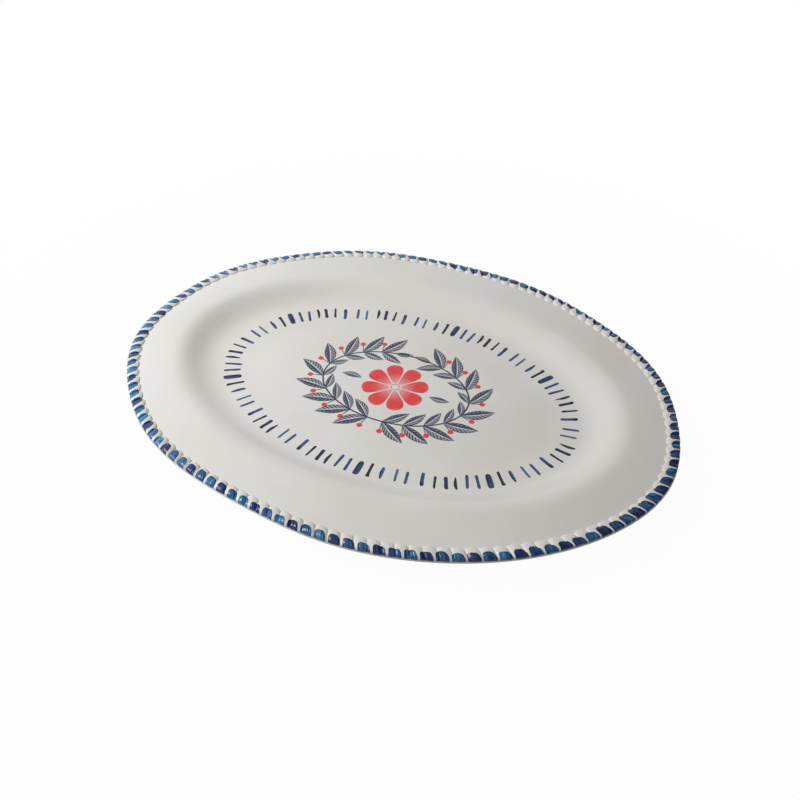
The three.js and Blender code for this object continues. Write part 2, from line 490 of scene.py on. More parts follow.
def lip_stations():
    """The round of the lip, from its top to its underside."""
    top, under = top_height(0), top_height(0) - LIP_THICKNESS
    radius = (top - under) / 2
    stations = []
    for k in range(1, LIP_STEPS):
        turn = math.pi * k / LIP_STEPS
        inset = EDGE_CLEARANCE + radius * (1 - math.sin(turn))
        stations.append((inset, under + radius * (1 + math.cos(turn))))
    return stations


def body_stations():
    rim_start = EDGE_CLEARANCE + LIP_THICKNESS / 2
    outwards = [(FLOOR_EDGE, 3), (WALL_FOOT, 9), (RIM_WIDTH, 14), (rim_start, 8)]
    inwards = [(RIM_WIDTH, 6), (UNDER_EDGE, 12), (FLOOR_DISC_INSET, 2)]
    over = steps_through(FLOOR_DISC_INSET, outwards)
    under = [rim_start] + steps_through(rim_start, inwards)
    stations = [(inset, top_height(inset)) for inset in over]
    stations += lip_stations()
    return stations + [(inset, under_height(inset)) for inset in under]


print("body stations:", len(body_stations()))

# %% Draw and extrude ovals
def oval_scale(inset):
    return HALF_LENGTH - inset, HALF_WIDTH - inset


def start_oval(name, around, half_axes, height, fill="NOTHING"):
    """A new oval at a height, left in edit mode with all of it selected."""
    circle = {"vertices": around, "radius": 1, "fill_type": fill}
    oval = add_shape(name, bpy.ops.mesh.primitive_circle_add, **circle)
    start_editing(oval)
    bpy.ops.mesh.select_all(action="SELECT")
    scale_flat(*half_axes)
    bpy.ops.transform.translate(value=(0, 0, height))
    return oval


def extrude_to(last, station):
    """Extrudes the selected ring and moves it from one station to the next."""
    rise = station[1] - last[1]
    bpy.ops.mesh.extrude_region_move(TRANSFORM_OT_translate={"value": (0, 0, rise)})
    (old_x, old_y), (new_x, new_y) = oval_scale(last[0]), oval_scale(station[0])
    scale_flat(new_x / old_x, new_y / old_y)


disc_axes = oval_scale(FLOOR_DISC_INSET)
print("half axes of the floor disc, mm:", [round(half / MM, 1) for half in disc_axes])

# %% Extrude the body from a disc, and push the waves in
HALVINGS = 40


def inset_and_bearing(x, y):
    """Where a point lies among the ovals, found by halving."""
    low, high = 0.0, HALF_WIDTH - 1e-6
    for _ in range(HALVINGS):
        inset = (low + high) / 2
        long, wide = oval_scale(inset)
        if (x / long) ** 2 + (y / wide) ** 2 < 1:
            low = inset
        else:
            high = inset
    return low, math.atan2(y / (HALF_WIDTH - low), x / (HALF_LENGTH - low))


def push_waves(piece):
    """Pushes the waves into a shell of ovals."""
    for vertex in piece.data.vertices:
        inset, bearing = inset_and_bearing(vertex.co.x, vertex.co.y)
        out = pushed_out(bearing, inset)
        vertex.co.x += out * math.cos(bearing)
        vertex.co.y += out * math.sin(bearing)


def make_body():
    body = start_oval("body", BODY_AROUND, disc_axes, FLOOR_TOP, "TRIFAN")
    pick_vertices(body, lambda place: place.xy.length > 1 * MM)        # all but its middle
    last = (FLOOR_DISC_INSET, FLOOR_TOP)
    for station in body_stations():
        extrude_to(last, station)
        last = station
    bpy.ops.mesh.extrude_region_move(TRANSFORM_OT_translate={"value": (0, 0, 0)})
    bpy.ops.mesh.merge(type="CENTER")
    close_and_turn_out()
    push_waves(body)
    body.data.transform(Matrix.Translation(MIDDLE))
    return body


body = make_body()
finish_piece(body, "platter_body", gloss_glaze, sharp_angle=50)

# %% [markdown]
# ## The foot ring
# The platter stands on a low ring under its well. It is glazed like the rest but is rubbed
# dull where it stands, so its finish turns rougher and a little darker near the bottom. The
# ring is one oval loop extruded round its own section until it meets itself.

# %% Foot finish
FOOT_CLAY = srgb(206, 196, 180)
CLAY_GRAIN = srgb(188, 177, 160)
WORN_HEIGHT = 1.1 * MM
WORN_RAGGED = 0.8 * MM
RAGS_PER_METRE = 260
GRAINS_PER_METRE = 1500
GRAIN_DEPTH = 0.05 * MM
CLAY_ROUGHNESS = 0.62
FOOT_GLOSS = 0.45              # how much smoother the foot is where its glaze is left


def foot_finish():
    material, wire = new_finish("worn_foot")
    place = wire.place()
    ragged = place.part("Z") + WORN_RAGGED * (wire.noise(place, RAGS_PER_METRE, 3) - 0.5)
    glazed = ragged.ramp_between(0.4 * WORN_HEIGHT, WORN_HEIGHT)
    grain = wire.noise(place, GRAINS_PER_METRE, 2)
    clay = grain.mix(FOOT_CLAY, CLAY_GRAIN)
    rough = {"Distance": GRAIN_DEPTH, "Height": grain * (1 - glazed)}
    bump = wire.node("ShaderNodeBump", inputs=rough)
    colour = glazed.mix(clay, glaze_colour(wire, place))
    surface(wire, colour, CLAY_ROUGHNESS - FOOT_GLOSS * glazed, bump)
    return material


worn_foot = foot_finish()
print("finish:", worn_foot.name)

# %% Extrude the foot ring round its section
FOOT_WIDTH = 7 * MM
FOOT_ROUND = 1.6 * MM
FOOT_SINK = 0.2 * MM           # the ring is bedded this far into the body
FOOT_AROUND = 192


def foot_stations():
    outer, inner = FOOT_INSET, FOOT_INSET + FOOT_WIDTH
    turns = [math.radians(angle) for angle in (0, 30, 60, 90)]
    outside = [
        (outer + FOOT_ROUND * (1 - math.cos(turn)), FOOT_ROUND * (1 - math.sin(turn)))
        for turn in turns
    ]
    inside = [(outer + inner - inset, height) for inset, height in reversed(outside)]
    top = UNDERSIDE + FOOT_SINK
    return [(outer, top)] + outside + inside + [(inner, top), (outer, top)]


def make_foot():
    stations = foot_stations()
    inset, height = stations[0]
    foot = start_oval("foot", FOOT_AROUND, oval_scale(inset), height)
    for last, station in zip(stations, stations[1:]):
        extrude_to(last, station)
    close_and_turn_out()
    foot.data.transform(Matrix.Translation(MIDDLE))
    return foot


foot = make_foot()
finish_piece(foot, "foot_ring", worn_foot, sharp_angle=50)

# %% [markdown]
# ## The rope, laid straight first
# The rope has 129 leaning lobes. Placing 129 domes round an oval would leave cracks between
# them, so one lobe is shaped from a grid, with valley edges that match its neighbour's, and an
# Array modifier repeats it into a straight cord of the edge's length with the valleys merged.
# The cord is then wrapped round the edge, as a potter lays a rolled coil.

# %% Length of the edge
EDGE_SAMPLES = 2400


def lengths_along(points):
    """How long the way is to each of the points."""
    lengths = [0.0]
    for before, after in zip(points, points[1:]):
        lengths.append(lengths[-1] + (after - before).length)
    return lengths


def walk_edge():
    """Bearings round the edge, each with the length walked so far."""
    bearings = [2 * math.pi * k / EDGE_SAMPLES for k in range(EDGE_SAMPLES + 1)]
    return bearings, lengths_along([square_to_edge(bearing, 0) for bearing in bearings])


edge_bearings, edge_lengths = walk_edge()
EDGE_LENGTH = edge_lengths[-1]
print("edge, mm:", round(EDGE_LENGTH / MM, 1))

# %% One lobe, repeated
LOBES = 129
LOBE_PITCH = EDGE_LENGTH / LOBES
LOBE_HEIGHT = 2.1 * MM
VALLEY_HEIGHT = 1.0 * MM
INNER_SCALLOP = 2.1 * MM
OUTER_SCALLOP = 0.3 * MM
ROPE_SINK = 0.25 * MM
ROPE_SLANT = math.radians(18)
LOBE_FULLNESS = 2.2            # how flat a lobe's top is: 2 with a roundness of 0.5 is an ellipse
LOBE_ROUNDNESS = 0.6
LOBE_COLUMNS = 10
LOBE_SECTION = [               # share of the width from the outer face, share of the height
    (0, 0), (0.01, 0.4), (0.05, 0.68), (0.14, 0.88), (0.28, 0.98), (0.44, 1),
    (0.62, 0.92), (0.78, 0.74), (0.9, 0.48), (0.97, 0.22), (1, 0),
]
LOBE_ROWS = len(LOBE_SECTION) - 1


def shape_lobe(lobe):
    """Lifts a unit grid into a dome: x runs along the edge, y inwards, z up from the rim."""
    for vertex in lobe.data.vertices:
        column = round((vertex.co.x + 0.5) * LOBE_COLUMNS)
        row = round((vertex.co.y + 0.5) * LOBE_ROWS)
        along = 0.5 * math.sin(math.pi * (column / LOBE_COLUMNS - 0.5))
        swell = (1 - abs(2 * along) ** LOBE_FULLNESS) ** LOBE_ROUNDNESS
        across, up = LOBE_SECTION[row]
        outer = ROPE_SET_IN + OUTER_SCALLOP * (1 - swell)
        inner = ROPE_SET_IN + ROPE_WIDTH - INNER_SCALLOP * (1 - swell)
        height = VALLEY_HEIGHT + (LOBE_HEIGHT - VALLEY_HEIGHT) * swell
        vertex.co.x = LOBE_PITCH * (along + 0.5)
        vertex.co.y = outer + (inner - outer) * across
        vertex.co.z = height * up if up > 0 else -ROPE_SINK


def make_straight_rope():
    grid = {"x_subdivisions": LOBE_COLUMNS, "y_subdivisions": LOBE_ROWS, "size": 1}
    rope = add_shape("rope", bpy.ops.mesh.primitive_grid_add, **grid)
    shape_lobe(rope)
    apply_modifier(
        rope, "ARRAY", count=LOBES, use_relative_offset=False, use_constant_offset=True,
        constant_offset_displace=(LOBE_PITCH, 0, 0), use_merge_vertices=True,
        merge_threshold=WELD,
    )
    return rope


rope = make_straight_rope()
print("straight rope, mm:", [round(side / MM, 2) for side in rope.dimensions])

# %% [markdown]
# ## The rope, wrapped round the edge
# Along the two long sides the lobes sit a little closer than at the ends, and the rope was
# rolled by hand, so it is slimmer round its left end. The blue dabs were brushed at their own
# pace, 123 of them, so they slip against the lobes on the way round, and the brush reached
# further in on some stretches than on others. Each corner of the mesh keeps its place in the
# painting, as the count of dabs so far and the inset in millimetres less that reach, in a UV
# map that the paint will read.

# %% Count lobes and dabs along the edge
LOBES_CLOSED_UP = 6            # extra lobes that the closer spacing of the long sides holds
DABS = 123
DAB_PACE = [(0, 0.62, 0), (1, 0.2, 22), (2, 0.21, 75)]     # waves, dabs gained, place in degrees


def dabs_before(share):
    """How many dabs lie before a share of the edge."""
    return DABS * share + sum_of_waves(DAB_PACE, 2 * math.pi * share)


def lobes_before(share):
    """How many lobes lie before a share of the edge."""
    closing = share - math.sin(4 * math.pi * share) / (4 * math.pi)
    return (LOBES - LOBES_CLOSED_UP) * share + LOBES_CLOSED_UP * closing


edge_lobes = [lobes_before(length / EDGE_LENGTH) for length in edge_lengths]


def read_between(count, table, values):
    """The value where a rising table reaches a count."""
    low, high = 0, len(table) - 1
    while high - low > 1:
        half = (low + high) // 2
        if table[half] <= count:
            low = half
        else:
            high = half
    share = (count - table[low]) / (table[high] - table[low])
    return values[low] + (values[high] - values[low]) * share


print("lobes in the first half:", round(lobes_before(0.5), 1))
print("dabs in the first half:", round(dabs_before(0.5), 1))

# %% Wrap the rope
ROPE_SLIMMING = [              # waves, how much slimmer the rope is, place in degrees
    (0, 0.3 * MM, 0), (1, 0.59 * MM, 152), (2, 0.18 * MM, 28), (3, 0.18 * MM, -2),
]
DAB_REACH = [                  # waves, how much further in the dabs reach in mm, place in degrees
    (0, 0.1, 0), (1, 0.54, 154), (2, 0.75, 9), (3, 0.5, -32), (4, 0.5, -5), (7, 0.45, -20),
]


def wrap_rope(rope):
    lean = math.tan(ROPE_SLANT) / LOBE_PITCH
    middle_inset = ROPE_INSIDE - ROPE_WIDTH / 2
    painted = []
    for vertex in rope.data.vertices:
        count, inset = vertex.co.x / LOBE_PITCH, vertex.co.y
        leaned = (count - lean * (inset - middle_inset)) % LOBES
        bearing = read_between(leaned, edge_lobes, edge_bearings)
        inset -= sum_of_waves(ROPE_SLIMMING, bearing) * (inset - ROPE_SET_IN) / ROPE_WIDTH
        dabs = dabs_before(read_between(count, edge_lobes, edge_lengths) / EDGE_LENGTH)
        painted.append((dabs, inset / MM - sum_of_waves(DAB_REACH, bearing)))
        point = square_to_edge(bearing, inset)
        vertex.co = (point.x, point.y, top_height(inset) + vertex.co.z)
    rope.data.uv_layers.new(name="paint")
    rope.data.uv_layers.remove(rope.data.uv_layers[0])
    paint = rope.data.uv_layers["paint"]
    for corner in rope.data.loops:
        paint.data[corner.index].uv = painted[corner.vertex_index]


def close_rope(rope):
    """Merges the rope's two ends, and bridges its two feet underneath."""
    start_editing(rope)
    bpy.ops.mesh.select_all(action="SELECT")
    bpy.ops.mesh.remove_doubles(threshold=WELD)
    bpy.ops.mesh.select_all(action="DESELECT")
    bpy.ops.mesh.select_mode(type="EDGE")
    bpy.ops.mesh.select_non_manifold()
    bpy.ops.mesh.bridge_edge_loops()
    close_and_turn_out()
    rope.data.transform(Matrix.Translation(MIDDLE))


wrap_rope(rope)
close_rope(rope)
print("wrapped rope:", len(rope.data.polygons), "faces")

# %% [markdown]
# ## The dabs of blue
# The outer part of the rope was dabbed with thin blue colour, in a repeating three: light,
# middle and navy. A dab is a rounded oblong, with streaks and ridges left by the brush, darker
# rims where the colour pooled, and white gaps between. The darkening at a dab's inner end is
# partly painted shade, where that end turns away from the light. Towards the right end the
# brush was fuller, so the dabs there are wider, and their colour is made deeper there as
# painted shade, since that end lies away from the light. A texture would smear, so the shape
# is worked out from the paint's own map: the fraction of the dab count runs across a dab, the
# inset along it.

# %% Shape and colours of a dab
DAB_LIGHT = (srgb(66, 146, 194), srgb(10, 54, 106))        # thin and thick colour
DAB_MIDDLE = (srgb(48, 114, 170), srgb(8, 40, 92))
DAB_NAVY = (srgb(34, 70, 132), srgb(6, 26, 74))
DABS_TO_LEFT_END = 184         # makes the dab at the left end a light one
DAB_WIDTH_MM = EDGE_LENGTH / MM / DABS
DAB_HALF = 0.405               # half a dab, as a share of the spacing
DAB_WIDENING = 0.035           # and how much more at the right end, where the brush was full
# painted shade: the colour is made deeper towards the right end, which lies away from the light
RIGHT_END_PAINTED_SHADE = 0.25           # how much deeper the colour is there
DAB_START_MM = 2.0             # inset where a dab begins to round off
DAB_ROUND_MM = 4.8             # from there to its inner end
DAB_UNEVEN_MM = 1.4            # and how much that differs from dab to dab
SIDE_SQUARENESS = 3.6          # 2 is an ellipse, and more is squarer
END_SQUARENESS = 2.6
EDGE_WOBBLE = 0.5
DAB_EDGE = (0.9, 1.06)         # how far out a dab begins to thin, and where it ends
# darker towards a dab's rims and inner end: pooled colour, and painted shade where the inner end
# turns from the light
POOLING_AND_SHADE = (0.3, 0.95)          # where the colour begins to pool, and where it is deepest
print("a dab's share of the edge, mm:", round(DAB_WIDTH_MM, 2))

# %% Rope finish
STREAK_DEPTH = 0.6             # what deepens the colour, and by how much
WASH_DEPTH = 0.3
POOL_AND_SHADE_DEPTH = 0.4
WOBBLES_PER_MM = 0.45
WASHES_PER_MM = 0.22
HAIRS_ACROSS = 1.5             # per millimetre, like those along a dab
HAIRS_ALONG = 0.16
RIDGES_TO_HAIRS = 0.35
STROKES_APART = 40             # puts each dab in a part of the noise of its own
HAIRS_APART = 60
RIDGE_DEPTH = 0.8 * MM         # of the ridges that the brush left in the thick colour
BARE_ROUGHNESS = 0.3           # of the white lobes
PAINT_GLOSS = 0.24             # how much smoother the thick colour is
ROPE_SHINE = 0.35


def rope_finish():
    material, wire = new_finish("brushed_rope")
    place = wire.place()
    paint = wire.node("ShaderNodeUVMap", {"uv_map": "paint"})
    count = paint.part("X")
    inset = paint.part("Y")
    dab = wire.math("FLOOR", count)
    across = count - dab - 0.5
    chance = wire.node("ShaderNodeTexWhiteNoise", {"noise_dimensions": "1D"}, {"W": dab}, "Value")
    way = count * DAB_WIDTH_MM
    spread = {0: way, 1: inset, 2: chance * STROKES_APART}
    stroke = wire.node("ShaderNodeCombineXYZ", inputs=spread)
    wobble = wire.noise(stroke, WOBBLES_PER_MM, 2) - 0.5

    rounding = DAB_ROUND_MM + DAB_UNEVEN_MM * (chance - 0.5)
    depth = wire.math("MAXIMUM", (inset - DAB_START_MM) / rounding, 0)
    towards_right_end = place.part("X") / HALF_LENGTH
    side = wire.math("ABSOLUTE", across) / (DAB_HALF + DAB_WIDENING * towards_right_end)
    reach = side ** SIDE_SQUARENESS + depth ** END_SQUARENESS + EDGE_WOBBLE * wobble
    painted = 1 - reach.ramp_between(*DAB_EDGE)
    # pooled colour at a dab's rims, and painted shade at its inner end
    pooled_and_shaded = reach.ramp_between(*POOLING_AND_SHADE)

    hairs = {0: way * HAIRS_ACROSS, 1: inset * HAIRS_ALONG, 2: chance * HAIRS_APART}
    fine = wire.node("ShaderNodeCombineXYZ", inputs=hairs)
    streak = wire.noise(fine, 1, 2).ramp_between(0.36, 0.62)
    wash = wire.noise(stroke, WASHES_PER_MM, 1).ramp_between(0.35, 0.65)
    depth_of_colour = STREAK_DEPTH * streak + WASH_DEPTH * wash + POOL_AND_SHADE_DEPTH * pooled_and_shaded
    # painted shade: deeper colour towards the right end, away from the light
    depth_of_colour += RIGHT_END_PAINTED_SHADE * towards_right_end
    turn = (wire.math("MODULO", DABS_TO_LEFT_END - dab, 3) + 0.5) / 3
    tones = []
    for tone in (0, 1):
        thirds = [(k / 3, blues[tone]) for k, blues in enumerate((DAB_LIGHT, DAB_MIDDLE, DAB_NAVY))]
        ramp = wire.node("ShaderNodeValToRGB", {"stops": thirds}, {"Fac": turn})
        ramp.socket.node.color_ramp.interpolation = "CONSTANT"
        tones.append(ramp)
    blue = wire.math("MINIMUM", depth_of_colour, 1).mix(*tones)
    ridges = {"Strength": 1, "Distance": RIDGE_DEPTH}
    ridges["Height"] = painted * wire.noise(fine, RIDGES_TO_HAIRS, 1)
    ridges["Normal"] = glaze_ripple(wire, place)
    relief = wire.node("ShaderNodeBump", inputs=ridges)
    roughness = BARE_ROUGHNESS - PAINT_GLOSS * painted
    surface(wire, painted.mix(glaze_colour(wire, place), blue), roughness, relief, ROPE_SHINE)
    return material


brushed_rope = rope_finish()
finish_piece(rope, "rope_edge", brushed_rope, sharp_angle=60)

# %% [markdown]
# ## Brush strokes
# The dashes, leaves and petals are all strokes of colour: a strip that widens, narrows and
# sways from row to row. A stroke starts as a grid, each row is scaled and moved to its place,
# and a Subdivision Surface modifier rounds its outline and its ends. The colour lies in the
# glaze, so a stroke becomes a film about a tenth of a millimetre thick, laid on the body by a
# Shrinkwrap modifier so that it follows the cove, and half sunk into it.

# %% Draw and colour a stroke
ACROSS_BLEND = (0.25, 0.75)    # where one ink passes into the next, as shares of the stroke
ALONG_BLEND = (0.2, 0.8)
ROW_SLACK = 0.01               # of the grid, where a row is picked


def stroke_shape(name, length, rows):
    """A flat stroke along y from 0 to its length. A row is share along, sideways, half width."""
    grid = {"x_subdivisions": 2, "y_subdivisions": len(rows) - 1, "size": 1}
    stroke = add_shape(name, bpy.ops.mesh.primitive_grid_add, **grid)
    start_editing(stroke)
    step = 1 / (len(rows) - 1)
    bpy.ops.mesh.select_all(action="SELECT")
    bpy.ops.transform.translate(value=(0, 0.5, 0))
    for k in reversed(range(len(rows))):
        share, sideways, half = rows[k]
        row_place = Vector((0, k * step, 0))
        pick_vertices(stroke, lambda place: (place - row_place).yz.length < ROW_SLACK)
        scale_flat(2 * half, 1)
        bpy.ops.transform.translate(value=(sideways, share * length - k * step, 1))
    bpy.ops.mesh.select_all(action="SELECT")
    bpy.ops.transform.translate(value=(0, 0, -1))
    bpy.ops.object.mode_set(mode="OBJECT")
    apply_modifier(stroke, "SUBSURF", levels=2, render_levels=2, boundary_smooth="ALL")
    return stroke


def ink_stroke(stroke, corner_inks):
    """Colours a stroke between its inks at the outer left, outer right, inner left, inner right."""
    ink = stroke.data.color_attributes.new("ink", "FLOAT_COLOR", "CORNER")
    uv = stroke.data.uv_layers[0]
    head_left, head_right, foot_left, foot_right = [Vector(colour) for colour in corner_inks]
    for corner in stroke.data.loops:
        across, along = uv.data[corner.index].uv
        sideways = smooth_share(across, *ACROSS_BLEND)
        head = head_left.lerp(head_right, sideways)
        foot = foot_left.lerp(foot_right, sideways)
        ink.data[corner.index].color = foot.lerp(head, smooth_share(along, *ALONG_BLEND))


print("inks blend over, share of a stroke:", round(ALONG_BLEND[1] - ALONG_BLEND[0], 2))

# %% Copy strokes and lay them on the body
FILM = 0.12 * MM
FILM_DROP = 80 * MM            # strokes are drawn this high and then dropped on the body


def copy_to(shape, place):
    copy = shape.copy()
    copy.data = shape.data.copy()
    bpy.context.scene.collection.objects.link(copy)
    copy.data.transform(Matrix.Translation((0, 0, FILM_DROP)) @ place)
    return copy


def lay_on_body(film):
    apply_modifier(
        film, "SHRINKWRAP", target=body, wrap_method="PROJECT", use_project_z=True,
        use_positive_direction=False, use_negative_direction=True,
    )
    apply_modifier(film, "SOLIDIFY", thickness=FILM, offset=0)


def remove(*shapes):
    for shape in shapes:
        bpy.data.objects.remove(shape)


print("film, mm:", FILM / MM)

# %% [markdown]
# ## The ring of dashes
# The ring was printed from one brushed strip, so its eleven kinds of dash come round in the
# same order: a long run of seventeen and a short run of eleven, three times. Each kind is drawn
# once. Its rows are written from the inner end to the outer end, in millimetres.

# %% Draw the eleven kinds of dash
NAVY = srgb(36, 48, 84)
BLUE = srgb(50, 76, 128)
MID_BLUE = srgb(62, 94, 140)
LIGHT_BLUE = srgb(76, 114, 152)
DARK = srgb(28, 32, 46)
CHARCOAL = srgb(30, 32, 38)
BRUSH_WIDTH = 1.2              # how full the brush was, against the rows below

DASH_KINDS = {
    # outer inset mm, length mm, inks of the four corners, rows of share, sideways mm, half mm
    "A": (65.8, 13.2, (BLUE, NAVY, NAVY, DARK), [
        (0, -0.1, 1.1), (0.14, -0.1, 1.7), (0.5, 0, 1.75), (0.86, 0.15, 1.8), (1, 0.2, 1.3)]),
    "B": (66.4, 12.6, (BLUE, BLUE, NAVY, MID_BLUE), [
        (0, 0.1, 0.7), (0.12, 0.1, 0.95), (0.5, 0, 0.75), (0.85, -0.05, 0.95), (1, -0.1, 0.7)]),
    "C": (67.0, 12.6, (MID_BLUE, BLUE, BLUE, BLUE), [
        (0, -0.45, 0.7), (0.15, -0.35, 1.0), (0.55, 0.05, 0.8), (0.9, 0.35, 0.85), (1, 0.4, 0.55)]),
    "D": (66.0, 11.2, (CHARCOAL, CHARCOAL, DARK, CHARCOAL), [
        (0, -0.15, 0.35), (0.2, -0.05, 0.6), (0.5, 0.35, 1.0), (0.8, 0, 0.85), (1, -0.4, 0.5)]),
    "E": (66.2, 11.4, (DARK, DARK, NAVY, NAVY), [
        (0, 0.1, 0.85), (0.14, 0.3, 1.2), (0.4, 0, 0.95), (0.7, 0.15, 1.0), (0.9, -0.2, 1.15),
        (1, -0.3, 0.8)]),
    "F": (66.0, 11.6, (DARK, NAVY, DARK, CHARCOAL), [
        (0, -0.25, 0.6), (0.12, -0.2, 0.9), (0.4, 0, 0.6), (0.8, 0.2, 0.7), (1, 0.25, 0.5)]),
    "G": (67.6, 12.2, (NAVY, DARK, MID_BLUE, BLUE), [
        (0, -0.1, 0.8), (0.12, -0.1, 1.05), (0.5, 0.1, 0.95), (0.8, 0.1, 1.15), (0.93, -0.05, 1.05),
        (1, -0.1, 0.7)]),
    "H": (67.2, 11.6, (MID_BLUE, BLUE, BLUE, MID_BLUE), [
        (0, -0.05, 0.65), (0.15, -0.05, 0.9), (0.5, 0, 0.8), (0.85, 0.05, 0.85), (1, 0.1, 0.6)]),
    "I": (68.0, 11.6, (MID_BLUE, LIGHT_BLUE, LIGHT_BLUE, LIGHT_BLUE), [
        (0, 0.1, 0.6), (0.14, 0.1, 0.8), (0.5, 0, 0.65), (0.85, -0.1, 0.75), (1, -0.2, 0.5)]),
    "J": (67.7, 10.9, (MID_BLUE, DARK, LIGHT_BLUE, NAVY), [
        (0, -0.1, 0.7), (0.14, -0.05, 1.0), (0.45, 0.15, 1.1), (0.7, 0.05, 0.9), (1, -0.2, 0.5)]),
    "K": (66.8, 13.1, (CHARCOAL, CHARCOAL, DARK, CHARCOAL), [
        (0, 0, 0.65), (0.12, 0, 0.85), (0.5, 0.1, 0.8), (0.84, 0.05, 0.85), (0.93, -0.2, 1.25),
        (1, -0.25, 1.0)]),
}
LONG_RUN = "ABCDEFGHIDEFGHIJK"
SHORT_RUN = "ABCDEFGHIJK"


def draw_dash(kind):
    _, length, inks, rows = DASH_KINDS[kind]
    rows = [(share, sideways * MM, half * BRUSH_WIDTH * MM) for share, sideways, half in rows]
    dash = stroke_shape("dash_" + kind, length * MM, rows)
    ink_stroke(dash, inks)
    return dash


dash_shapes = {kind: draw_dash(kind) for kind in DASH_KINDS}
print("kinds of dash:", len(dash_shapes))

# %% [markdown]
# The dashes stand square to an oval that runs through their middles. The ring is walked
# clockwise from the left end, and the gap after each dash depends on its kind. The gaps are
# shares of the whole way round, so the ring closes on itself.

# %% Lay the dashes round the ring
RING_LONG = 127.8 * MM
RING_WIDE = 80.4 * MM
RING_INSET = 74 * MM           # of the oval through the dashes' middles
RING_MIDDLE = MIDDLE + Vector((1.5, -1.7, 0)) * MM         # printed a little off the middle
RING_START = 0.0718            # share of the way round, from the left end to the first dash
OVAL_SAMPLES = 1600
DASH_GAPS = {                  # spacing from one dash to the next, with like units all round
    "AB": 38, "BC": 34, "CD": 37, "DE": 30, "EF": 36, "FG": 40, "GH": 51, "HI": 35,
    "IJ": 47, "JK": 40, "KA": 38, "ID": 46,
}


def walk_oval(long, wide, start, turn):
    """Bearings from a start through a turn, with the length walked so far."""
    bearings = [start + turn * k / OVAL_SAMPLES for k in range(OVAL_SAMPLES + 1)]
    points = [Vector((long * math.cos(b), wide * math.sin(b))) for b in bearings]
    return bearings, lengths_along(points)


def dash_places():
    """Each dash's kind with its share of the way round."""
    order = (LONG_RUN + SHORT_RUN) * 3
    gaps = [DASH_GAPS[a + b] for a, b in zip(order, order[1:] + order[0])]
    share = RING_START
    for kind, gap in zip(order, gaps):
        yield kind, share % 1
        share += gap / sum(gaps)


def dash_frame(bearing, outer, length):
    """Turns a stroke's y outwards at a bearing, with its outer end at its inset."""
    normal = Vector((math.cos(bearing) / RING_LONG, math.sin(bearing) / RING_WIDE, 0)).normalized()
    clockwise = Vector((normal.y, -normal.x, 0))
    start = RING_MIDDLE + Vector((RING_LONG * math.cos(bearing), RING_WIDE * math.sin(bearing), 0))
    start += normal * (RING_INSET - outer - length)
    turned = Matrix((clockwise, normal, (0, 0, 1))).transposed().to_4x4()
    return Matrix.Translation(start) @ turned


def make_dash_ring():
    bearings, lengths = walk_oval(RING_LONG, RING_WIDE, math.pi, -2 * math.pi)
    dashes = []
    for kind, share in dash_places():
        bearing = read_between(share * lengths[-1], lengths, bearings)
        outer, length = DASH_KINDS[kind][0] * MM, DASH_KINDS[kind][1] * MM
        dashes.append(copy_to(dash_shapes[kind], dash_frame(bearing, outer, length)))
    return join_as("dash_ring", dashes)


dash_ring = make_dash_ring()
lay_on_body(dash_ring)
remove(*dash_shapes.values())
print("dashes, mm:", [round(side / MM, 1) for side in dash_ring.dimensions])

# %% [markdown]
# The ink is thin, so the brush's hairs show as fine light and dark streaks along each dash.
# The streaks follow the stroke's own UV map.

# %% Dash finish
PRINT_SHINE = 0.2              # printed ink dulls the glaze over it
DASH_ROUGHNESS = 0.12
THIN_INK = srgb(112, 132, 160)
STREAK_SHARE = 0.22
DASH_HAIRS = (9, 1.2, 1)       # across and along a dash
DASH_PATCHES = (90, 90, 90)    # per metre, so that no two dashes are alike


def dash_finish():
    material, wire = new_finish("brushed_dash")
    place = wire.place()
    ink = wire.node("ShaderNodeAttribute", {"attribute_name": "ink"}, output="Color")
    uv = wire.node("ShaderNodeUVMap", {"uv_map": "UVMap"})
    hairs = wire.node("ShaderNodeVectorMath", {"operation": "MULTIPLY"}, {0: uv, 1: DASH_HAIRS})
    shifted = {0: place, 1: DASH_PATCHES, 2: hairs}
    patch = wire.node("ShaderNodeVectorMath", {"operation": "MULTIPLY_ADD"}, shifted)
    streak = wire.noise(patch, 1, 3).ramp_between(0.35, 0.75)
    thin = (STREAK_SHARE * streak).mix(ink, THIN_INK)
    surface(wire, thin, DASH_ROUGHNESS, glaze_ripple(wire, place), PRINT_SHINE)
    return material


brushed_dash = dash_finish()
finish_piece(dash_ring, "dash_transfer", brushed_dash, sharp_angle=40)

# %% [markdown]
# ## The wreath in the middle
# The middle of the floor has a printed design in ink blue and coral: a laurel wreath with
# berries round an open flower. It is printed like a wood engraving, with solid ink on one half
# of a leaf and hatching over a paler wash on the other, so leaves and petals carry their own
# UV map for the lines to follow.

# %% Draw the leaf, petal, stalk and berry
INK = srgb(34, 58, 88)
CORAL = srgb(236, 52, 58)
LEAF_ROWS = [
    (0, 0, 0.4), (0.1, 0.3, 1.7), (0.26, 0.7, 3.7), (0.46, 0.8, 4.75),
    (0.66, 0.5, 4.0), (0.83, 0, 2.3), (0.94, -0.5, 0.95), (1, -0.9, 0.12),
]
PETAL_ROWS = [
    (0, 0, 1.2), (0.18, 0, 2.7), (0.42, 0, 4.9), (0.66, 0, 6.4),
    (0.85, 0, 6.1), (0.96, 0, 4.0), (1, 0, 1.0),
]
STALK_ROWS = [(0, 0, 0.6), (0.3, 0.1, 0.5), (0.7, 0.1, 0.42), (1, 0, 0.36)]
LEAF_LENGTH = 25               # these four are in millimetres, like the rows
PETAL_LENGTH = 20.5
STALK_LENGTH = 8
BERRY_RADIUS = 2.1
BERRY_AROUND = 24


